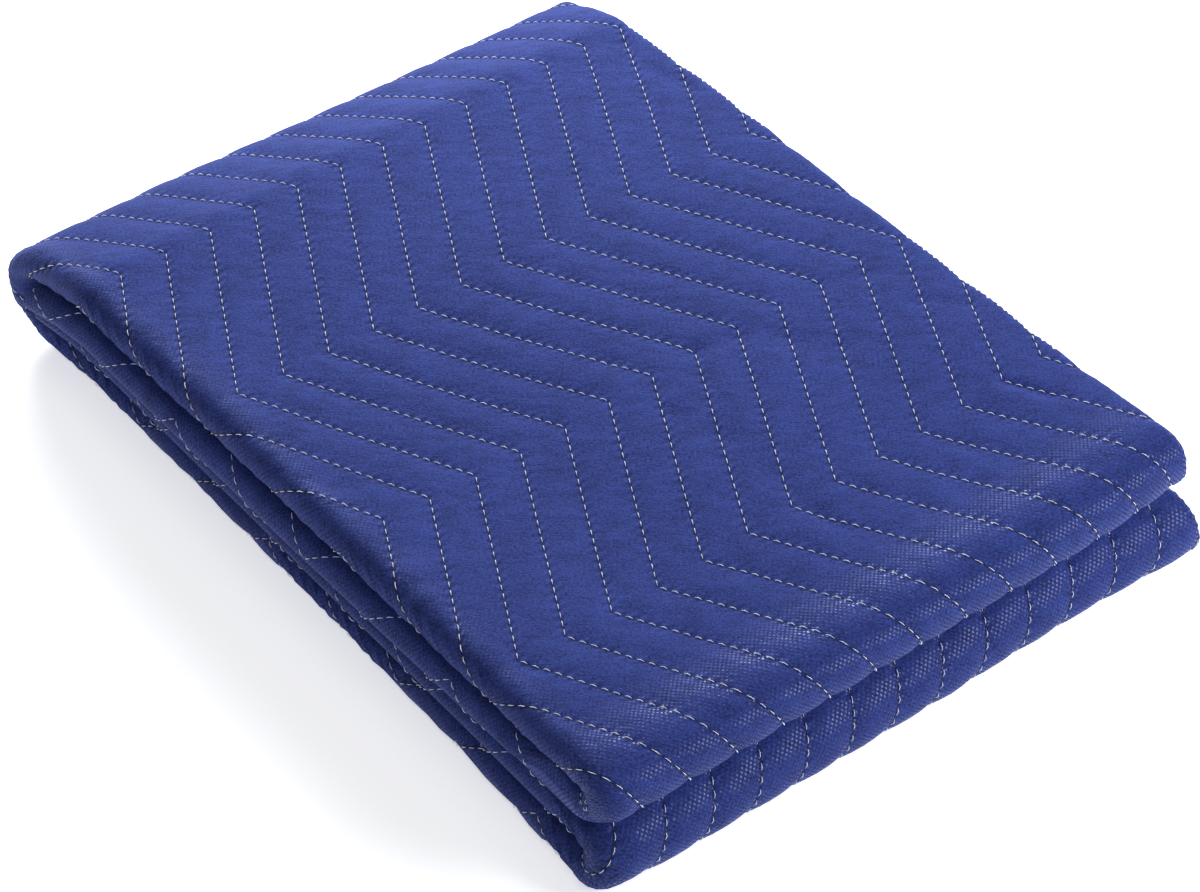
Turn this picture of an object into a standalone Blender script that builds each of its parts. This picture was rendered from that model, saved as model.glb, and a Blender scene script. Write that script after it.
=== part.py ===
# Folded quilted moving blanket, one closed cloth solid, in metres, +Z up.
# The cloth is folded in four across its width, which makes a strip four layers deep.
# Both ends of the strip are folded in to its middle, then the strip is closed like a book.
# The long sides of the pack run along X, the two stacked folds face +X, the spine faces -X.
import math

import bmesh
import bpy
from mathutils import Vector

# ---------------------------------------------------------------- driving sizes
CLOTH = 0.0042            # one quilted cloth with its filling
LAYER_GAP = 0.0006        # air between two cloth layers of the strip
STRATUM_GAP = 0.0010      # air between two strips of the stack
PACK_LENGTH = 0.480       # along X, over spine and stacked folds
PACK_WIDTH = 0.343        # along Y, over the side folds
UPPER_SHY = 0.004         # the upper stacked fold stops this short of the lower one
SPINE_RADIUS = 0.022      # middle of the strip at both bends of the spine
SPINE_LEAN = 20.0         # degrees the spine leans in towards its foot
FLAP_STOP = 0.006         # the folded-in ends stop this far before the spine bends

LAYERS = 4
STRATA_COUNT = 4
STRIP = LAYERS * CLOTH + (LAYERS - 1) * LAYER_GAP
PITCH = STRIP + STRATUM_GAP
LAYER_PITCH = CLOTH + LAYER_GAP
PACK_HEIGHT = STRATA_COUNT * STRIP + (STRATA_COUNT - 1) * STRATUM_GAP
FOLD_RADIUS = PITCH / 2

U_STEPS = 8               # faces round the outer side fold
INNER_STEPS = 4           # faces round the small side folds
NOSE_STEPS = 10           # faces round a stacked fold
SPINE_STEPS = 6           # faces round each bend of the spine
RUN_STEPS = 5             # faces along a straight strip
WIDTH_STEPS = 4           # faces across a straight layer

# Height of the strip's middle in each stratum, counted from the top one.
LEVEL = {n + 1: PACK_HEIGHT - STRIP / 2 - n * PITCH for n in range(STRATA_COUNT)}

# How far each strip stops short of the pack's width, in metres.
# stratum, front side at the spine, in the middle, at the stacked folds, back side at both
SETBACK = (
    (1, 0.0000, 0.0000, 0.0005, 0.0000, 0.0010),
    (2, -0.0018, -0.0024, 0.0014, 0.0040, 0.0025),
    (3, 0.0064, 0.0046, 0.0042, 0.0055, 0.0030),
    (4, 0.0150, 0.0110, 0.0062, 0.0030, 0.0015),
)

# Where each layer of the strip stops at the back side, in metres short of the edge.
# layer, stop
BACK_STOP = (
    (1, 0.0000),
    (3, 0.0060),
    (4, 0.0025),
)

# How much the top of the stack stands above or below its plain height, in metres.
# share of the length from the spine, front edge, quarter, middle, three quarters, back edge
LOFT = (
    (0.00, -0.0065, -0.0020, -0.0005, -0.0010, -0.0025),
    (0.15, -0.0035, 0.0000, 0.0010, 0.0005, -0.0015),
    (0.50, -0.0020, 0.0010, 0.0016, 0.0004, -0.0012),
    (0.85, -0.0012, 0.0002, 0.0008, -0.0004, -0.0016),
    (1.00, -0.0018, -0.0006, 0.0002, -0.0008, -0.0028),
)


def lerp(low, high, share):
    return low + (high - low) * share


def table_value(rows, share, column):
    """Straight-line reading of a table whose first column rises."""
    for below, above in zip(rows, rows[1:]):
        if share <= above[0]:
            step = (share - below[0]) / (above[0] - below[0])
            return lerp(below[column], above[column], min(max(step, 0.0), 1.0))
    return rows[-1][column]


def loft_at(x, y):
    """Extra height of the stack's top over one spot of its plan."""
    along = min(max(x / PACK_LENGTH + 0.5, 0.0), 1.0)
    across = min(max(y / PACK_WIDTH + 0.5, 0.0), 1.0) * 4
    column = min(int(across), 3)
    near = table_value(LOFT, along, 1 + column)
    far = table_value(LOFT, along, 2 + column)
    return lerp(near, far, across - column)


# ---------------------------------------------------------------- the strip's section
def arc(centre_y, centre_n, radius, start, sweep, steps):
    """Points round one side fold with the heading at each."""
    points = []
    for i in range(steps + 1):
        angle = start + sweep * i / steps
        y = centre_y + radius * math.cos(angle)
        n = centre_n + radius * math.sin(angle)
        turn = math.copysign(math.pi / 2, sweep)
        points.append((y, n, angle + turn))
    return points


def straight(y_from, y_to, n):
    """Points inside one straight layer, its ends left out."""
    heading = 0.0 if y_to > y_from else math.pi
    return [(lerp(y_from, y_to, i / WIDTH_STEPS), n, heading) for i in range(1, WIDTH_STEPS)]


def strip_section():
    """Closed outline of the strip: y from the front side, n from layer 4 up to layer 1."""
    stop = dict(BACK_STOP)
    level = {k: CLOTH / 2 + (LAYERS - k) * LAYER_PITCH for k in range(1, LAYERS + 1)}
    outer = (STRIP - CLOTH) / 2
    small = LAYER_PITCH / 2
    front = STRIP / 2
    back = PACK_WIDTH - stop[1] - small - CLOTH / 2
    end_4 = PACK_WIDTH - stop[4]
    end_3 = PACK_WIDTH - stop[3]
    pair_12 = (level[1] + level[2]) / 2
    line = [(end_4, level[4], math.pi)]
    line += straight(end_4, front, level[4])
    line += arc(front, STRIP / 2, outer, -math.pi / 2, -math.pi, U_STEPS)
    line += straight(front, back, level[1])
    line += arc(back, pair_12, small, math.pi / 2, -math.pi, INNER_STEPS)
    line += straight(back, front, level[2])
    line += arc(front, STRIP / 2, small, math.pi / 2, math.pi, INNER_STEPS)
    line += straight(front, end_3, level[3])
    line.append((end_3, level[3], 0.0))
    left = []
    right = []
    for y, n, heading in line:
        side_y = -math.sin(heading) * CLOTH / 2
        side_n = math.cos(heading) * CLOTH / 2
        left.append((y + side_y, n + side_n))
        right.append((y - side_y, n - side_n))
    return left + right[::-1]


# ---------------------------------------------------------------- the strip's path
def run(x_from, x_to, level, stratum, last):
    """Stations along one straight strip: x, z, heading, stratum before, after, share."""
    heading = 0.0 if x_to > x_from else math.pi
    count = RUN_STEPS + 1 if last else RUN_STEPS
    rows = []
    for i in range(count):
        rows.append((lerp(x_from, x_to, i / RUN_STEPS), level, heading, stratum, stratum, 0.0))
    return rows


def bend(x, z, heading, radius, sweep, steps, before, after, share_from, share_to):
    """Stations round one bend to the left, and where it ends."""
    centre_x = x - radius * math.sin(heading)
    centre_z = z + radius * math.cos(heading)
    rows = []
    for i in range(steps + 1):
        angle = heading + sweep * i / steps
        share = lerp(share_from, share_to, i / steps)
        here_x = centre_x + radius * math.sin(angle)
        here_z = centre_z - radius * math.cos(angle)
        rows.append((here_x, here_z, angle, before, after, share))
    return rows


def strip_path():
    """Stations of the middle of the strip from one folded-in end to the other."""
    reach = STRIP / 2 + FOLD_RADIUS
    lower = PACK_LENGTH / 2 - reach
    upper = lower - UPPER_SHY
    spine = -PACK_LENGTH / 2 + STRIP / 2 + SPINE_RADIUS
    lean = math.radians(SPINE_LEAN)
    flap = spine + FLAP_STOP
    rows = run(flap, upper, LEVEL[2], 2, False)
    rows += bend(upper, LEVEL[2], 0.0, FOLD_RADIUS, math.pi, NOSE_STEPS, 2, 1, 0.0, 1.0)
    rows += run(upper, spine, LEVEL[1], 1, False)[1:]
    down = math.pi / 2 + lean
    rows += bend(spine, LEVEL[1], math.pi, SPINE_RADIUS, down, SPINE_STEPS, 1, 4, 0.0, 0.5)
    foot_x, foot_z = rows[-1][0], rows[-1][1]
    drop = foot_z - LEVEL[4] - SPINE_RADIUS * (1 - math.sin(lean))
    foot_x += drop * math.tan(lean)
    foot_z -= drop
    rest = math.pi - down
    rows += bend(foot_x, foot_z, math.pi + down, SPINE_RADIUS, rest, SPINE_STEPS, 1, 4, 0.6, 1.0)
    rows += run(rows[-1][0], lower, LEVEL[4], 4, False)[1:]
    rows += bend(lower, LEVEL[4], 0.0, FOLD_RADIUS, math.pi, NOSE_STEPS, 4, 3, 0.0, 1.0)
    rows += run(lower, flap, LEVEL[3], 3, True)[1:]
    return rows


def setback(stratum, x, side):
    """Set-back of one stratum at x, on its front or back side."""
    row = next(r for r in SETBACK if r[0] == stratum)
    along = min(max(x / PACK_LENGTH + 0.5, 0.0), 1.0)
    if side == "back":
        return lerp(row[4], row[5], along)
    if along < 0.5:
        return lerp(row[1], row[2], along * 2)
    return lerp(row[2], row[3], along * 2 - 1)


def station_points(station, section):
    """The section's outline carried to one station of the path."""
    x, z, heading, before, after, share = station
    out_x = math.sin(heading)
    out_z = -math.cos(heading)
    front = lerp(setback(before, x, "front"), setback(after, x, "front"), share)
    back = lerp(setback(before, x, "back"), setback(after, x, "back"), share)
    points = []
    for y, n in section:
        across = min(max(y / PACK_WIDTH, 0.0), 1.0)
        here_y = y - PACK_WIDTH / 2 + lerp(front, -back, across)
        here_x = x + out_x * (n - STRIP / 2)
        here_z = z + out_z * (n - STRIP / 2)
        here_z *= 1 + loft_at(here_x, here_y) / PACK_HEIGHT
        points.append(Vector((here_x, here_y, here_z)))
    return points


# ---------------------------------------------------------------- the solid
def build_cloth(material):
    """One closed mesh: the strip's section swept along its folded path."""
    section = strip_section()
    mesh = bmesh.new()
    rings = []
    for station in strip_path():
        rings.append([mesh.verts.new(p) for p in station_points(station, section)])
    count = len(section)
    for here, there in zip(rings, rings[1:]):
        for i in range(count):
            j = (i + 1) % count
            mesh.faces.new((here[i], here[j], there[j], there[i]))
    half = count // 2
    for ring in (rings[0], rings[-1]):
        for i in range(half - 1):
            mesh.faces.new((ring[i], ring[i + 1], ring[count - 2 - i], ring[count - 1 - i]))
    bmesh.ops.recalc_face_normals(mesh, faces=mesh.faces)
    bmesh.ops.triangulate(mesh, faces=mesh.faces)
    data = bpy.data.meshes.new("quilted_cloth")
    mesh.to_mesh(data)
    mesh.free()
    cloth = bpy.data.objects.new("quilted_cloth", data)
    data.materials.append(material)
    bpy.context.scene.collection.objects.link(cloth)
    return cloth


def cloth_material():
    """Matt blue cloth."""
    material = bpy.data.materials.new("quilted_cloth")
    material.use_nodes = True
    shader = material.node_tree.nodes["Principled BSDF"]
    shader.inputs["Base Color"].default_value = (0.030, 0.062, 0.275, 1.0)
    shader.inputs["Roughness"].default_value = 0.9
    shader.inputs["Metallic"].default_value = 0.0
    return material


for item in list(bpy.data.objects):
    bpy.data.objects.remove(item, do_unlink=True)
build_cloth(cloth_material())
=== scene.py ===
"""A quilted moving blanket folded into a flat pack, on a pale studio floor."""
import math

import bmesh
import bpy
import numpy as np
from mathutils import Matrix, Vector, noise


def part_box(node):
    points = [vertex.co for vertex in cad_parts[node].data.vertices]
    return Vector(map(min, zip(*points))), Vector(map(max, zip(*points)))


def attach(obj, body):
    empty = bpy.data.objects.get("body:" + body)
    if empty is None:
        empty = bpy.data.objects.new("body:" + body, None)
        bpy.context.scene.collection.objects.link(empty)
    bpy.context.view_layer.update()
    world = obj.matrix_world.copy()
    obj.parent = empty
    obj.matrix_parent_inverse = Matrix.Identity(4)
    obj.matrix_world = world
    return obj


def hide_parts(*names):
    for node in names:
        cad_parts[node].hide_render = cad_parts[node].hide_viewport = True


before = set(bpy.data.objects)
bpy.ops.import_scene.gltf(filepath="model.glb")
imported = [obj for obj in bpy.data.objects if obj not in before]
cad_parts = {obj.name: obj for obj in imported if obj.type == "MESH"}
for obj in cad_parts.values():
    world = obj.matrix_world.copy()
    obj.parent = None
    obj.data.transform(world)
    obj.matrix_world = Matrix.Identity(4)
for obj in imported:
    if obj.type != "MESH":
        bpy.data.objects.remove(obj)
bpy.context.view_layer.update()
pack_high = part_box("quilted_cloth")[1]

# ---------------------------------------------------------------- the studio
# A camera with a long lens stands over the near corner. The floor is white acrylic. The light
# comes from a low panel behind the spine, one beyond the stacked folds and a wide one overhead.
scene = bpy.context.scene
scene.view_settings.view_transform = "Standard"


def linear(hex_colour):
    """An sRGB hex colour as linear red, green, blue and alpha."""
    parts = [int(hex_colour[i:i + 2], 16) / 255 for i in (1, 3, 5)]
    return [p / 12.92 if p <= 0.04045 else ((p + 0.055) / 1.055) ** 2.4 for p in parts] + [1.0]


look_at = Vector((0.0629, -0.0410, pack_high.z))
camera_azimuth, camera_elevation, camera_distance = math.radians(51.48), math.radians(44.22), 1.773
back = Vector((
    math.sin(camera_azimuth) * math.cos(camera_elevation),
    -math.cos(camera_azimuth) * math.cos(camera_elevation),
    math.sin(camera_elevation),
))
camera = bpy.data.objects.new("camera", bpy.data.cameras.new("camera"))
camera.data.lens = 116.0
camera.data.sensor_width = 36.0
camera.location = look_at + back * camera_distance
camera.rotation_mode = "QUATERNION"
camera.rotation_quaternion = (-back).to_track_quat("-Z", "Y")
scene.collection.objects.link(camera)
scene.camera = camera


def add(tree, kind, settings=None, sockets=None):
    """Adds a shader node: settings are its own options, sockets are set to a value or linked."""
    made = tree.nodes.new(kind)
    for name, value in (settings or {}).items():
        setattr(made, name, value)
    for name, value in (sockets or {}).items():
        if isinstance(value, bpy.types.NodeSocket):
            tree.links.new(value, made.inputs[name])
        else:
            made.inputs[name].default_value = value
    return made


# White acrylic sheet, lit a little from below so that it stays white round the cloth.
acrylic = bpy.data.materials.new("acrylic_sheet_white")
acrylic.use_nodes = True
acrylic_shader = acrylic.node_tree.nodes["Principled BSDF"]
acrylic_shader.inputs["Base Color"].default_value = linear("#fafafa")
acrylic_shader.inputs["Roughness"].default_value = 0.9
acrylic_shader.inputs["Emission Color"].default_value = linear("#ffffff")
acrylic_shader.inputs["Emission Strength"].default_value = 0.58
bm = bmesh.new()
bmesh.ops.create_grid(bm, x_segments=1, y_segments=1, size=12.0)
floor_mesh = bpy.data.meshes.new("floor")
bm.to_mesh(floor_mesh)
bm.free()
floor = bpy.data.objects.new("floor", floor_mesh)
floor_mesh.materials.append(acrylic)
scene.collection.objects.link(floor)

# panel, direction it stands in (x, y, z), distance, width, height, power, colour
PANELS = (
    ("behind_spine", (-0.86, 0.46, 0.36), 1.15, 0.8, 0.4, 23.0, "#e9f1ff"),
    ("beyond_folds", (0.66, 0.47, 0.50), 1.3, 0.7, 0.5, 14.0, "#f4f8ff"),
    ("overhead", (0.05, -0.25, 1.0), 1.8, 1.6, 1.6, 9.0, "#ffffff"),
)
for name, direction, distance, width, height, power, colour in PANELS:
    panel = bpy.data.lights.new(name, "AREA")
    panel.shape = "RECTANGLE"
    panel.size, panel.size_y = width, height
    panel.energy = power
    panel.color = linear(colour)[:3]
    lamp = bpy.data.objects.new(name, panel)
    lamp.location = look_at + Vector(direction).normalized() * distance
    lamp.rotation_mode = "QUATERNION"
    lamp.rotation_quaternion = (look_at - lamp.location).to_track_quat("-Z", "Y")
    scene.collection.objects.link(lamp)

world = bpy.data.worlds.new("studio")
scene.world = world
world.use_nodes = True
world.node_tree.nodes["Background"].inputs["Color"].default_value = linear("#ffffff")
world.node_tree.nodes["Background"].inputs["Strength"].default_value = 0.10

# ---------------------------------------------------------------- the folded cloth
# One quilted cloth, two faces of felt-like bonded fibre with a thin filling between them. It is
# folded in four across its width, both ends of that strip are folded in to the middle, and the
# strip is closed like a book: two stacked folds at +X, a round spine at -X. No binding, no label.
MM = 0.001
CLOTH = 4.2 * MM             # faces and filling together
LAYER_GAP = 0.6 * MM
STRATUM_GAP = 1.0 * MM
LENGTH = 456 * MM            # along the pack, over which the set-backs below are spread
WIDTH = 343 * MM
OUTER_HEM = 2.5 * MM         # how far each free edge stops short of the back side
INNER_HEM = 6 * MM
KNEE_X = -178 * MM           # where the top starts to sag towards the spine, past the flaps' ends
SAG = math.radians(15)
SAG_LENGTH = 38 * MM
KNEE_RADIUS = 20 * MM
SPINE_RADIUS = 20.7 * MM
HEEL_RADIUS = 14 * MM
SPINE_LEAN = math.radians(20)
FLAP_X = -217 * MM           # where the folded-in ends stop
UPPER_FOLD_X = 210 * MM      # middle of each stacked fold's bend
LOWER_FOLD_X = 210 * MM
STRIP = 4 * CLOTH + 3 * LAYER_GAP
PITCH = STRIP + STRATUM_GAP
HEIGHT = 4 * STRIP + 3 * STRATUM_GAP
LEVEL = {n + 1: HEIGHT - STRIP / 2 - n * PITCH for n in range(4)}

# Quilting: zigzag lines run along the pack, one inch apart, with long shallow teeth.
LINE_PITCH = 26 * MM
TOOTH = 106.7 * MM           # from a peak to the next hollow, along the pack
SWING = 57.4 * MM            # from a peak to a hollow, across the pack
FIRST_PEAK_X = -173.7 * MM   # where the lines turn nearest the spine
FIRST_LINE = 1.6 * MM        # how far the lowest peak lies past the front side fold
SLANT = math.atan2(SWING, TOOTH)
STITCH = math.hypot(TOOTH, SWING) / 22       # lock stitches, 5.5 mm long

# How far each stratum stops short of the pack's width, or past it where negative, in mm.
# stratum, front side at the spine, in the middle, at the stacked folds, back side at both
SETBACK = (
    (1, 0.0, 0.0, 0.5, 0.0, 1.0),
    (2, -1.8, -2.4, 1.4, 4.0, 2.5),
    (3, 6.4, 4.6, 4.2, 5.5, -7.0),
    (4, 9.0, 7.2, 3.8, 3.0, -9.0),
)
PUFF = 1.4 * MM              # how much looser the stack stands than its tight height
# Noses of the stacked folds: how far they stand out against a round one, how square they are
# above and below their tips (2 is round, less is more pointed), and their skew in mm.
UPPER_NOSE = (1.34, 2.4, 1.40, (-3.0, 1.0, 3.0))
LOWER_NOSE = (1.36, 1.9, 1.85, (-4.0, 0.5, 1.0))
SPINE_SKEW = (-1.5, -1.0, 3.0, 6.0, 8.0)     # x of the spine's edge in mm, from front to back
SPINE_SKEW_FROM, SPINE_SKEW_OVER = -200 * MM, 35 * MM
NOSE_SKEW_FROM, NOSE_SKEW_OVER = 60 * MM, 150 * MM
# Where the pack was tugged while it was laid down, all in mm:
# centre x, y, z, reach in x, y, z, move in x, y, z
TUGS = (
    (60, -167, 78, 190, 30, 50, 0.0, 0.0, 3.2),
    (-55, -160, 78, 60, 30, 50, 0.0, 0.0, 2.0),
    (0, -60, 78, 75, 60, 50, 0.0, 0.0, -3.2),
    (110, -70, 78, 70, 50, 50, 0.0, 0.0, -3.4),
    (150, 150, 78, 90, 40, 50, 0.0, 0.0, 4.5),
    (150, 171, 60, 80, 40, 60, 0.0, -3.0, 0.0),
    (214, 150, 82, 34, 130, 30, 0.0, 0.0, 3.5),
    (236, 20, 58, 26, 300, 22, 0.0, 0.0, 5.5),
    (240, 130, 60, 26, 110, 24, 3.0, 2.0, 4.0),
    (-244, -172, 58, 26, 32, 30, -5.0, -3.0, -7.0),
    (-230, -168, 24, 30, 45, 24, -9.0, -4.0, 0.0),
    (-200, 171, 60, 90, 40, 60, 0.0, -5.0, 0.0),
    (0, 171, 60, 100, 40, 60, 0.0, -2.0, 0.0),
    (230, 176, 24, 45, 45, 26, 5.0, 1.5, 5.0),
    (225, 176, 58, 40, 40, 22, -5.0, -5.0, 1.0),
    (238, -174, 4, 26, 24, 26, -4.0, -5.0, 0.0),
    (200, -174, 4, 60, 24, 20, 0.0, -3.0, 0.0),
)
# Main soft creases of the top, in mm: half width, depth (a ridge where it is
# negative), then the x and y of each end and of a bend between them.
CREASES = (
    (4.0, 1.1, (65, 0), (100, 10), (180, 10)),
    (4.5, 1.3, (40, 35), (45, 60), (85, 95)),
    (3.5, 1.0, (40, 110), (55, 140)),
    (3.5, 0.8, (-15, -5), (20, 0)),
    (3.5, 1.1, (-180, 140), (-160, 155)),
    (3.5, 1.0, (-135, 150), (-110, 160)),
    (3.0, 1.0, (80, 140), (100, 155)),
    (3.5, 1.0, (145, 130), (170, 140)),
    (3.5, 1.3, (0, -160), (20, -145)),
    (4.5, -1.4, (-5, -170), (20, -160)),
    (3.0, 1.3, (60, -150), (70, -140)),
    (3.0, 1.1, (80, -170), (85, -160)),
    (3.0, 1.1, (140, -160), (155, -150)),
)


class Route:
    """A route of straights and bends, read back by the length run along it."""

    def __init__(self, x, z, heading):
        self.rows = [(0.0, x, z, heading)]
        self.marks = {}

    def mark(self, name):
        self.marks[name] = self.rows[-1][0]

    def straight(self, length):
        run, x, z, heading = self.rows[-1]
        on_x, on_z = length * math.cos(heading), length * math.sin(heading)
        self.rows.append((run + length, x + on_x, z + on_z, heading))

    def bend(self, radius, sweep, steps=48):
        run, x, z, heading = self.rows[-1]
        side = math.copysign(1.0, sweep)
        centre_x = x - side * radius * math.sin(heading)
        centre_z = z + side * radius * math.cos(heading)
        for i in range(1, steps + 1):
            turned = heading + sweep * i / steps
            here_x = centre_x + side * radius * math.sin(turned)
            here_z = centre_z - side * radius * math.cos(turned)
            self.rows.append((run + radius * abs(sweep) * i / steps, here_x, here_z, turned))

    def close(self):
        self.table = np.array(self.rows).T

    def at(self, run):
        return [np.interp(run, self.table[0], column) for column in self.table[1:]]


# The strip's path in the X-Z plane, through the middle of its four layers.
path = Route(FLAP_X, LEVEL[2], 0.0)
path.straight(UPPER_FOLD_X - FLAP_X)
path.mark("upper fold starts")
path.bend(PITCH / 2, math.pi)
path.mark("top starts")
path.straight(UPPER_FOLD_X - KNEE_X)
path.mark("spine starts")
path.bend(KNEE_RADIUS, SAG)
path.straight(SAG_LENGTH)
path.bend(SPINE_RADIUS, math.pi / 2 - SAG + SPINE_LEAN)
drop = path.rows[-1][2] - LEVEL[4] - HEEL_RADIUS * (1 - math.sin(SPINE_LEAN))
path.straight(drop / math.cos(SPINE_LEAN))
path.bend(HEEL_RADIUS, math.pi / 2 - SPINE_LEAN)
path.mark("underside starts")
path.straight(LOWER_FOLD_X - path.rows[-1][1])
path.mark("lower fold starts")
path.bend(PITCH / 2, math.pi)
path.mark("lower flap starts")
path.straight(LOWER_FOLD_X - FLAP_X)
path.mark("end")
path.close()

# The strip's section in its own Y-N plane, from layer 4's free edge to layer 3's.
small = (CLOTH + LAYER_GAP) / 2
layer_n = {k: CLOTH / 2 + (4 - k) * (CLOTH + LAYER_GAP) for k in (1, 2, 3, 4)}
front_y = STRIP / 2
back_y = WIDTH - small - CLOTH / 2
chain = Route(WIDTH - OUTER_HEM, layer_n[4], math.pi)
chain.straight(WIDTH - OUTER_HEM - front_y)
chain.mark("side fold starts")
chain.bend((STRIP - CLOTH) / 2, -math.pi)
chain.mark("face starts")
chain.straight(back_y - front_y)
chain.mark("back fold starts")
chain.bend(small, -math.pi)
chain.mark("layer 2 starts")
chain.straight(back_y - front_y)
chain.mark("inner fold starts")
chain.bend(small, math.pi)
chain.mark("layer 3 starts")
chain.straight(WIDTH - INNER_HEM - front_y)
chain.mark("end")
chain.close()

# Length along the strip's outer skin, which the quilting follows, from the row of first peaks.
skin = path.table[0] + (path.table[3] - path.table[3][0]) * STRIP / 2
peak_run = path.marks["top starts"] + (UPPER_FOLD_X - FIRST_PEAK_X)
skin = skin - np.interp(peak_run, path.table[0], skin)
# The underside is drawn tight, which brings its zigzags this much nearer.
UNDERSIDE_DRAWN = 2 * MM
on_underside = np.clip((path.table[0] - path.marks["underside starts"])
                       / (path.marks["lower fold starts"] - path.marks["underside starts"]), 0, 1)
skin = skin - UNDERSIDE_DRAWN * on_underside
LINE_START = chain.marks["face starts"] - front_y - FIRST_LINE

# The strata in the order that the path meets them, and where along it each changes to the next.
PATH_ORDER = (2, 1, 4, 3)
STRATUM_RUNS = [path.marks[k] for k in (
    "upper fold starts", "top starts", "spine starts",
    "underside starts", "lower fold starts", "lower flap starts",
)]
STRATUM_ORDER = [0, 1, 1, 2, 2, 3]
FLAP_FROM, FLAP_FADE = 34 * MM, 24 * MM      # the flaps lie flat from this far inside their folds


def swing(skin_run):
    """How far the zigzag has swung across, at a length along the skin."""
    tooth = np.abs(skin_run) / TOOTH
    return SWING * np.abs((tooth + 1) % 2 - 1)


def within(values, low, high, reach):
    """1 from low to high, fading out over the reach beyond both."""
    beyond = np.maximum(low - values, values - high)
    return np.clip(1 - beyond / reach, 0, 1)


def in_flap(run):
    """1 in the two folded-in ends, which are pressed flat inside the pack, 0 in the rest."""
    upper = within(run, 0.0, path.marks["upper fold starts"] - FLAP_FROM, FLAP_FADE)
    lower = within(run, path.marks["lower flap starts"] + FLAP_FROM, path.marks["end"], FLAP_FADE)
    return np.maximum(upper, lower)


def stand_out(x, z, centre_x, centre_z, nose):
    """Turns the round nose of a stacked fold into its real shape."""
    reach, above, below = nose[:3]
    out = np.maximum(x - centre_x, 0.0)
    high = z - centre_z
    size = np.hypot(out, high) + 1e-9
    power = np.where(high > 0, above, below)
    grow = (np.abs(out / size) ** power + np.abs(high / size) ** power) ** (-1 / power)
    past = out > 0
    return np.where(past, centre_x + out * grow * reach, x), np.where(past, centre_z + high * grow, z)


def crease_depth(x, y):
    """How deep the creases press the top at a place, fading out at their ends."""
    depth = np.zeros_like(x)
    for half_width, deep, *points in CREASES:
        nearest = np.full_like(x, 1.0)
        for (x0, y0), (x1, y1) in zip(points, points[1:]):
            run_x, run_y = (x1 - x0) * MM, (y1 - y0) * MM
            along = ((x - x0 * MM) * run_x + (y - y0 * MM) * run_y) / (run_x ** 2 + run_y ** 2)
            along = np.clip(along, 0, 1)
            nearest = np.minimum(nearest, np.hypot(x - x0 * MM - along * run_x, y - y0 * MM - along * run_y))
        depth += deep * MM * np.exp(-(nearest / (half_width * MM)) ** 2)
    return depth


def place(run, across, lift):
    """Where a point of the cloth comes to lie: run along the strip, across the cloth, off its middle."""
    x, z, heading = path.at(run)
    y, n, turn = chain.at(across)
    y = y - lift * np.sin(turn)
    n = n + lift * np.cos(turn)
    x = x + np.sin(heading) * (n - STRIP / 2)
    z = z - np.cos(heading) * (n - STRIP / 2)
    upper_half = run < path.marks["spine starts"]
    upper_x, upper_z = stand_out(x, z, UPPER_FOLD_X, (LEVEL[1] + LEVEL[2]) / 2, UPPER_NOSE)
    lower_x, lower_z = stand_out(x, z, LOWER_FOLD_X, (LEVEL[3] + LEVEL[4]) / 2, LOWER_NOSE)
    x = np.where(upper_half, upper_x, lower_x)
    z = np.where(upper_half, upper_z, lower_z)
    # The flaps' ends are pressed down under the sagging top.
    is_flap = (run < path.marks["upper fold starts"]) | (run > path.marks["lower flap starts"])
    pressed = np.clip(KNEE_X - x, 0, None) * math.tan(SAG) / (2 * PITCH)
    z = np.where(is_flap, PITCH + (z - PITCH) * (1 - pressed), z)
    share = np.clip(x / LENGTH + 0.5, 0, 1)
    stratum = np.interp(run, STRATUM_RUNS, STRATUM_ORDER)
    front = np.zeros_like(x)
    rear = np.zeros_like(x)
    for order, number in enumerate(PATH_ORDER):
        weight = np.clip(1 - np.abs(stratum - order), 0, 1)
        row = SETBACK[number - 1]
        front += weight * np.interp(share, (0, 0.5, 1), row[1:4]) * MM
        rear += weight * np.interp(share, (0, 1), row[4:6]) * MM
    side = np.clip(y / WIDTH, 0, 1)
    y = y - WIDTH / 2 + front * (1 - side) - rear * side
    z = z * (1 + PUFF / HEIGHT)
    halves = (0, 0.5, 1)
    past_knee = np.clip((SPINE_SKEW_FROM - x) / SPINE_SKEW_OVER, 0, 1)
    towards_folds = np.clip((x - NOSE_SKEW_FROM) / NOSE_SKEW_OVER, 0, 1)
    upper_skew, lower_skew = (np.interp(side, halves, nose[3]) for nose in (UPPER_NOSE, LOWER_NOSE))
    spine_skew = np.interp(side, (0, 0.25, 0.5, 0.75, 1), SPINE_SKEW)
    x = x + (spine_skew * past_knee + np.where(upper_half, upper_skew, lower_skew) * towards_folds ** 2) * MM
    moved = np.stack((x, y, z), axis=1)
    for tug in TUGS:
        centre, spread, move = np.array(tug, dtype=float).reshape(3, 3) * MM
        fade = np.exp(-np.sum(((moved - centre) / spread) ** 2, axis=1))
        x = x + fade * move[0]
        y = y + fade * move[1]
        z = z + fade * move[2] * np.clip(z / HEIGHT, 0, 1)
    on_top = upper_half & (z > HEIGHT - STRIP / 2)
    z = z - np.where(on_top, crease_depth(x, y), 0.0)
    return np.stack((x, y, np.maximum(z, 0.0)), axis=1)


def marks_between(start, stop, step):
    """Even steps from start to stop, both ends in."""
    count = max(1, round((stop - start) / step))
    return [start + (stop - start) * i / count for i in range(count + 1)]


def joined(*parts):
    """Several runs of marks as one rising list without doubles."""
    out = []
    for part in parts:
        for value in part:
            if not out or value > out[-1] + 0.05 * MM:
                out.append(value)
    return np.array(out)


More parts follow.
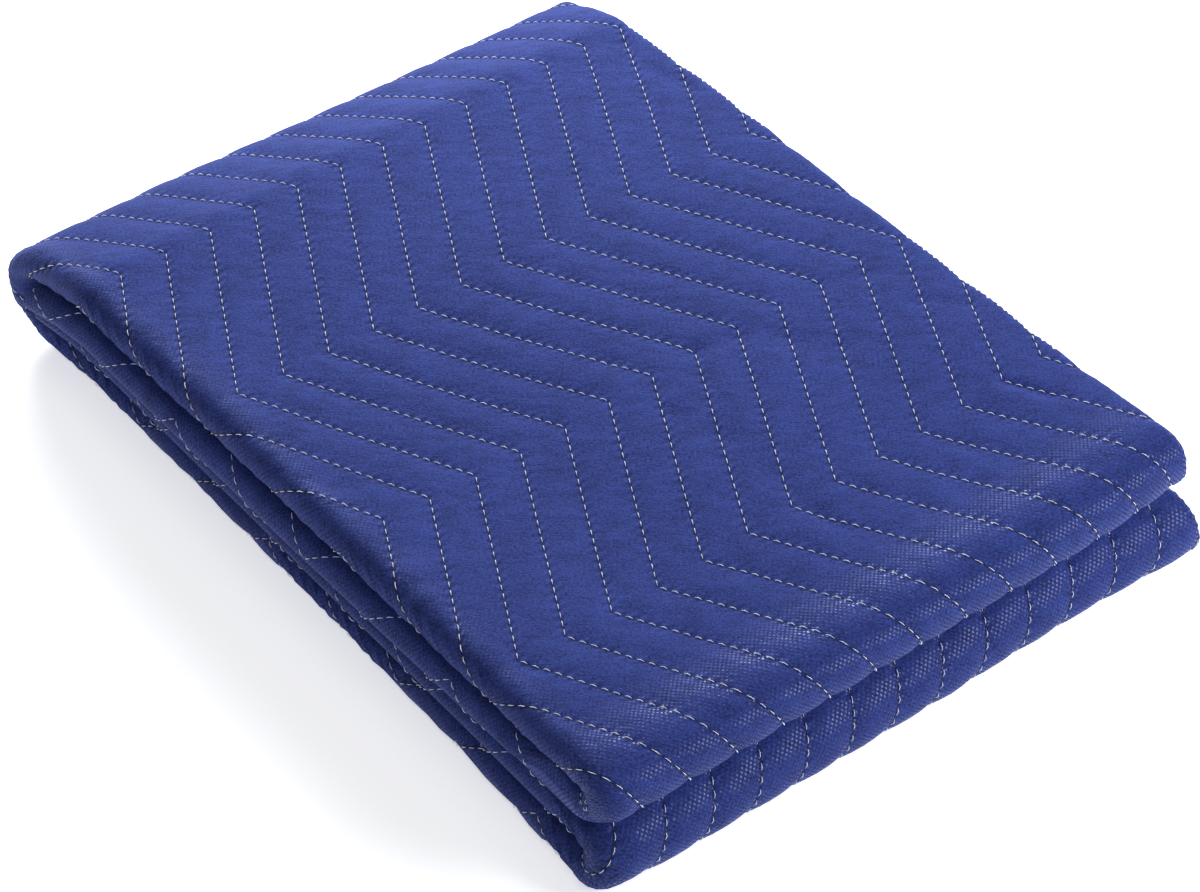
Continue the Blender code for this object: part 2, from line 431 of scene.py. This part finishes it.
# Rows of the mesh lie across the strip, close together where the skin shows.
FLAP_STEP, FOLD_STEP, SPINE_STEP = 22 * MM, 1.9 * MM, 3.4 * MM
UNDERSIDE_STEP = TOOTH / 12
row_step = TOOTH / 28
on_path = path.marks
rows = joined(
    marks_between(0.0, on_path["upper fold starts"], FLAP_STEP),
    marks_between(on_path["upper fold starts"], on_path["top starts"], FOLD_STEP),
    [peak_run - i * row_step for i in range(int((peak_run - on_path["top starts"]) / row_step), -1, -1)],
    marks_between(peak_run, on_path["spine starts"], row_step),
    marks_between(on_path["spine starts"], on_path["underside starts"], SPINE_STEP),
    marks_between(on_path["underside starts"], on_path["lower fold starts"], UNDERSIDE_STEP),
    marks_between(on_path["lower fold starts"], on_path["lower flap starts"], FOLD_STEP),
    marks_between(on_path["lower flap starts"], on_path["end"], FLAP_STEP),
)
# Columns follow the zigzag lines and crowd towards them; the cloth's hidden stretches have few.
on_chain = chain.marks
LAYER_4_STEP, LAYER_2_STEP, LAYER_3_STEP = 26 * MM, 24 * MM, 26 * MM
BACK_FOLD_STEP, BACK_FOLD_MARGIN, INNER_FOLD_STEP = 1.3 * MM, 3 * MM, 6 * MM
BESIDE_LINE = [k * MM for k in (-6.5, -2.0, 0.0, 2.0, 6.5, 13.0)]
first_line = math.floor((on_chain["side fold starts"] - LINE_START) / LINE_PITCH)
last_line = math.ceil((on_chain["layer 2 starts"] + SWING - LINE_START) / LINE_PITCH)
by_lines = [LINE_START + n * LINE_PITCH + k for n in range(first_line, last_line + 1) for k in BESIDE_LINE]
close_from = on_chain["back fold starts"] - BACK_FOLD_MARGIN
close_to = on_chain["layer 2 starts"] + BACK_FOLD_MARGIN + SWING
columns = joined(
    marks_between(0.0, by_lines[0], LAYER_4_STEP),
    [k for k in by_lines if k < close_from],
    marks_between(close_from, close_to, BACK_FOLD_STEP),
    marks_between(close_to, on_chain["inner fold starts"], LAYER_2_STEP),
    marks_between(on_chain["inner fold starts"], on_chain["layer 3 starts"] + SWING, INNER_FOLD_STEP),
    marks_between(on_chain["layer 3 starts"] + SWING, on_chain["end"], LAYER_3_STEP),
)

bm = bmesh.new()
bmesh.ops.create_grid(bm, x_segments=len(columns) - 1, y_segments=len(rows) - 1, size=0.5)
lifted = bmesh.ops.extrude_face_region(bm, geom=bm.faces[:])
for item in lifted["geom"]:
    if isinstance(item, bmesh.types.BMVert):
        item.co.z = 1.0
mesh = bpy.data.meshes.new("quilted_cloth_skin")
bm.to_mesh(mesh)
bm.free()

grid = np.empty(len(mesh.vertices) * 3)
mesh.vertices.foreach_get("co", grid)
grid = grid.reshape(-1, 3)
column_index = np.rint((grid[:, 0] + 0.5) * (len(columns) - 1)).astype(int)
row_index = np.rint((grid[:, 1] + 0.5) * (len(rows) - 1)).astype(int)
face_side = np.where(grid[:, 2] > 0.5, 1.0, -1.0)
run = rows[row_index]
skin_run = np.interp(run, path.table[0], skin)
drift = swing(skin_run)
ends = np.minimum(columns[column_index], columns[-1] - columns[column_index])
open_share = 1 - in_flap(run)
across = columns[column_index] - drift * open_share * np.clip(ends / (2 * SWING), 0, 1)
across = np.clip(across, 0.0, columns[-1])

# Relief: each line pulls the faces together, and the filling stands a little proud between lines.
VALLEY = 1.25 * MM
WAVE = 0.30 * MM
LUMPS_PER_METRE, RIPPLES_PER_METRE = 42, 105
FACE_APART, RIPPLE_APART = 3.1, 7.7      # keep the two faces' lumps and the ripples unlike
to_line = (across + drift - LINE_START) / LINE_PITCH
to_line = np.abs((to_line + 0.5) % 1.0 - 0.5) * 2
pull = (1 - to_line) ** 3.2 * open_share
wave = np.array([
    noise.noise(Vector((a * LUMPS_PER_METRE, b * LUMPS_PER_METRE, FACE_APART * (f > 0))))
    + 0.5 * noise.noise(Vector((a * RIPPLES_PER_METRE, b * RIPPLES_PER_METRE, RIPPLE_APART)))
    for a, b, f in zip(skin_run, across, face_side)
])
lift = face_side * (CLOTH / 2 - VALLEY * pull * np.where(face_side > 0, 1.0, 0.6) + WAVE * wave * to_line)

points = place(run, across, lift)
mesh.vertices.foreach_set("co", points.ravel())

weave = mesh.uv_layers.new(name="cloth")
corner = np.empty(len(mesh.loops), dtype=int)
mesh.loops.foreach_get("vertex_index", corner)
weave.data.foreach_set("uv", np.stack((skin_run[corner], across[corner]), axis=1).ravel())
near_line = mesh.attributes.new("near_line", "FLOAT", "POINT")
near_line.data.foreach_set("value", ((1 - to_line) * open_share).astype(np.float32))

# The cloth is drawn tight round the stacked folds and the front side folds, where its fused dots
# stand clear of the fibres.
tight = np.maximum.reduce([
    within(run, path.marks["upper fold starts"], path.marks["top starts"] + 2 * MM, 22 * MM),
    within(run, path.marks["lower fold starts"] - 4 * MM, path.marks["lower flap starts"], 20 * MM),
    0.5 * within(across, chain.marks["side fold starts"], chain.marks["face starts"], 14 * MM),
])
drawn_tight = mesh.attributes.new("drawn_tight", "FLOAT", "POINT")
drawn_tight.data.foreach_set("value", tight.astype(np.float32))
mesh.shade_smooth()
bm = bmesh.new()
bm.from_mesh(mesh)
bmesh.ops.recalc_face_normals(bm, faces=bm.faces)
bm.to_mesh(mesh)
bm.free()
blanket = bpy.data.objects.new("quilted_cloth_skin", mesh)
scene.collection.objects.link(blanket)

# Bonded polyester felt, dyed royal blue: matt fibres that catch a soft edge light, pressed with
# a diamond grid of small fused dots that glint where the cloth turns a fold. The fibres are far
# too fine to show, so their grain is drawn as coarse as small tufts, combed slantwise.
DOT_PITCH = 1.8 * MM
TUFT = 0.9 * MM
COMBED = math.radians(128)
MOTTLE = 8 * MM
CLOUD = 40 * MM
felt = bpy.data.materials.new("bonded_felt_blue")
felt.use_nodes = True
tree = felt.node_tree
shader = tree.nodes["Principled BSDF"]
cloth_uv = add(tree, "ShaderNodeUVMap", {"uv_map": "cloth"}).outputs["UV"]
beside_seam = add(tree, "ShaderNodeAttribute", {"attribute_name": "near_line"}).outputs["Fac"]
tightness = add(tree, "ShaderNodeAttribute", {"attribute_name": "drawn_tight"}).outputs["Fac"]

# Grains, from the dots to broad clouds of colour.
turned = add(tree, "ShaderNodeMapping", None, {"Vector": cloth_uv, "Rotation": (0, 0, math.radians(45))})
cells = add(tree, "ShaderNodeTexVoronoi", {"voronoi_dimensions": "2D", "feature": "F1"}, {
    "Vector": turned.outputs[0], "Scale": 1 / DOT_PITCH, "Randomness": 0.0})
clear_dots = add(tree, "ShaderNodeMapRange", None, {"Value": tightness, "To Min": 0.10, "To Max": 1.0})
dots = add(tree, "ShaderNodeMapRange", {"interpolation_type": "SMOOTHSTEP"}, {
    "Value": cells.outputs["Distance"], "From Min": 0.22, "From Max": 0.42,
    "To Min": clear_dots.outputs[0], "To Max": 0.0})
combed = add(tree, "ShaderNodeMapping", {"vector_type": "TEXTURE"}, {
    "Vector": cloth_uv, "Rotation": (0, 0, COMBED), "Scale": (1.5, 1.0, 1.0)})
tufts = add(tree, "ShaderNodeTexNoise", None, {
    "Vector": combed.outputs[0], "Scale": 1 / TUFT, "Detail": 3.0, "Roughness": 0.7})
mottle = add(tree, "ShaderNodeTexNoise", None, {
    "Vector": combed.outputs[0], "Scale": 1 / MOTTLE, "Detail": 2.0, "Roughness": 0.6})
clouds = add(tree, "ShaderNodeTexNoise", None, {"Vector": cloth_uv, "Scale": 1 / CLOUD, "Detail": 1.0})

# Colour: the three grains added up, with painted shade darkening the furrow along each line of needle holes.
fine = add(tree, "ShaderNodeMath", {"operation": "MULTIPLY_ADD"}, {
    0: tufts.outputs["Fac"], 1: 3.6, 2: -1.8})
middling = add(tree, "ShaderNodeMath", {"operation": "MULTIPLY_ADD"}, {
    0: mottle.outputs["Fac"], 1: 0.9, 2: fine.outputs[0]})
shade = add(tree, "ShaderNodeMath", {"operation": "MULTIPLY_ADD", "use_clamp": True}, {
    0: clouds.outputs["Fac"], 1: 0.30, 2: middling.outputs[0]})
fibre_colour = add(tree, "ShaderNodeMix", {"data_type": "RGBA"}, {
    0: shade.outputs[0], 6: linear("#161d4f"), 7: linear("#304087")})
# Painted shade: the colour turns darker towards each quilting line, as though the valley there lay in
# shadow.
painted_seam_shade = add(tree, "ShaderNodeMapRange", {"interpolation_type": "SMOOTHSTEP"}, {
    "Value": beside_seam, "From Min": 0.88, "From Max": 1.0, "To Min": 0.0, "To Max": 0.65})
colour = add(tree, "ShaderNodeMix", {"data_type": "RGBA"}, {
    0: painted_seam_shade.outputs[0], 6: fibre_colour.outputs[2], 7: linear("#10163c")})
roughness = add(tree, "ShaderNodeMapRange", None, {
    "Value": dots.outputs[0], "To Min": 0.95, "To Max": 0.28})

# Relief in mm: tufts, soft lumps of the filling, dots pressed in, and the short creases that
# each stitch draws in on both sides of its line.
crease_wave = add(tree, "ShaderNodeTexWave", {"wave_type": "BANDS", "bands_direction": "X"}, {
    "Vector": cloth_uv, "Scale": 2 * math.pi / (20 * STITCH * math.cos(SLANT)), "Distortion": 0.0})
by_stitch = add(tree, "ShaderNodeMapRange", {"interpolation_type": "SMOOTHSTEP"}, {
    "Value": beside_seam, "From Min": 0.60, "From Max": 0.95, "To Min": 0.0, "To Max": 0.5})
creases = add(tree, "ShaderNodeMath", {"operation": "MULTIPLY"}, {
    0: crease_wave.outputs["Fac"], 1: by_stitch.outputs[0]})
fibre_height = add(tree, "ShaderNodeMapRange", None, {
    "Value": dots.outputs[0], "To Min": 0.40, "To Max": 0.03})
with_tufts = add(tree, "ShaderNodeMath", {"operation": "MULTIPLY_ADD"}, {
    0: tufts.outputs["Fac"], 1: fibre_height.outputs[0], 2: creases.outputs[0]})
with_lumps = add(tree, "ShaderNodeMath", {"operation": "MULTIPLY_ADD"}, {
    0: mottle.outputs["Fac"], 1: 0.8, 2: with_tufts.outputs[0]})
relief = add(tree, "ShaderNodeMath", {"operation": "MULTIPLY_ADD"}, {
    0: dots.outputs[0], 1: 0.12, 2: with_lumps.outputs[0]})
bump = add(tree, "ShaderNodeBump", None, {"Strength": 1.0, "Distance": 1 * MM, "Height": relief.outputs[0]})
tree.links.new(colour.outputs[2], shader.inputs["Base Color"])
tree.links.new(roughness.outputs[0], shader.inputs["Roughness"])
tree.links.new(bump.outputs[0], shader.inputs["Normal"])
shader.inputs["Specular IOR Level"].default_value = 0.25
shader.inputs["Sheen Weight"].default_value = 0.10
shader.inputs["Sheen Roughness"].default_value = 0.4
shader.inputs["Sheen Tint"].default_value = linear("#7f9bea")
mesh.materials.append(felt)

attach(blanket, "root")
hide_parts("quilted_cloth")

# ---------------------------------------------------------------- the quilting stitches
# White polyester lock stitches, about 5.5 mm long, sewn along every line; the thread lies on the
# face between two needle holes and dives into the valley at both.
SHOWN = 0.68                 # share of a stitch that lies on top
THREAD = 0.36 * MM
NEEDLE_HOLE, CROWN = 0.1 * MM, 0.85 * MM     # thread's height over the valley at its ends and middle
INTO_FLAPS, INTO_SIDE_FOLD, ONTO_FLAP_FACE = 8 * MM, 6 * MM, 10 * MM     # how far seams go inside

per_tooth = round(math.hypot(TOOTH, SWING) / STITCH)
skin_low, skin_high = skin[0], skin[-1]
centres = []
for line in range(first_line - 1, last_line + 2):
    tooth_from = math.floor(skin_low / TOOTH)
    tooth_to = math.ceil(skin_high / TOOTH)
    for step in range(tooth_from * per_tooth, tooth_to * per_tooth):
        here = (step + 0.5) / per_tooth * TOOTH
        if skin_low < here < skin_high:
            centres.append((here, LINE_START + line * LINE_PITCH))
centres = np.array(centres)
half = STITCH * SHOWN / 2 * math.cos(SLANT)
stitch_across = centres[:, 1] - swing(centres[:, 0])
stitch_run = np.interp(centres[:, 0], skin, path.table[0])
hidden_flap = stitch_run < on_path["upper fold starts"] - INTO_FLAPS
hidden_flap |= stitch_run > on_path["lower flap starts"] + INTO_FLAPS
shows = stitch_across > on_chain["side fold starts"] - INTO_SIDE_FOLD
shows &= stitch_across < on_chain["layer 2 starts"]
shows &= ~(hidden_flap & (stitch_across > on_chain["face starts"] + ONTO_FLAP_FACE))
centres = centres[shows]


def on_thread(skin_at, line_at, height):
    """A point of a quilting line, a height above the valley's floor."""
    run_at = np.interp(skin_at, skin, path.table[0])
    floor_at = CLOTH / 2 - VALLEY * (1 - in_flap(run_at))
    return place(run_at, line_at - swing(skin_at), floor_at + height)


tail = on_thread(centres[:, 0] - half, centres[:, 1], NEEDLE_HOLE)
head = on_thread(centres[:, 0] + half, centres[:, 1], NEEDLE_HOLE)
crown = on_thread(centres[:, 0], centres[:, 1], CROWN)

# One short ball of thread, repeated for every stitch, then stretched and bowed over its stitch.
bm = bmesh.new()
bmesh.ops.create_uvsphere(bm, u_segments=6, v_segments=4, radius=1.0)
ball = np.array([v.co[:] for v in bm.verts])
one_stitch = bpy.data.meshes.new("one_stitch")
bm.to_mesh(one_stitch)
bm.free()
bm = bmesh.new()
for _ in centres:
    bm.from_mesh(one_stitch, face_normals=False, vertex_normals=False)
stitch_mesh = bpy.data.meshes.new("quilting_stitches")
bm.to_mesh(stitch_mesh)
bm.free()
bpy.data.meshes.remove(one_stitch)
middle = (head + tail) / 2
along = head - tail
stitch_length = np.linalg.norm(along, axis=1, keepdims=True)
along /= stitch_length
up = crown - middle
up -= along * np.sum(up * along, axis=1, keepdims=True)
up /= np.linalg.norm(up, axis=1, keepdims=True)
side_way = np.cross(along, up)
bow = 1 - ball[:, 2] ** 2
rise = np.linalg.norm(crown - middle, axis=1, keepdims=True)
all_points = (
    middle[:, None, :]
    + along[:, None, :] * (ball[None, :, 2:3] * stitch_length[:, None, :] / 2)
    + side_way[:, None, :] * (ball[None, :, 0:1] * THREAD / 2)
    + up[:, None, :] * (ball[None, :, 1:2] * THREAD / 2 + bow[None, :, None] * rise[:, None, :])
)
stitch_mesh.vertices.foreach_set("co", all_points.ravel())
stitch_mesh.update()
stitch_mesh.shade_smooth()
stitches = bpy.data.objects.new("quilting_stitches", stitch_mesh)
scene.collection.objects.link(stitches)

# Spun polyester thread, bleached white and a little glossy, so each stitch shows as a bright dash.
thread = bpy.data.materials.new("polyester_thread_white")
thread.use_nodes = True
thread_shader = thread.node_tree.nodes["Principled BSDF"]
thread_shader.inputs["Base Color"].default_value = linear("#f4f8ff")
thread_shader.inputs["Roughness"].default_value = 0.55
stitch_mesh.materials.append(thread)
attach(stitches, "root")
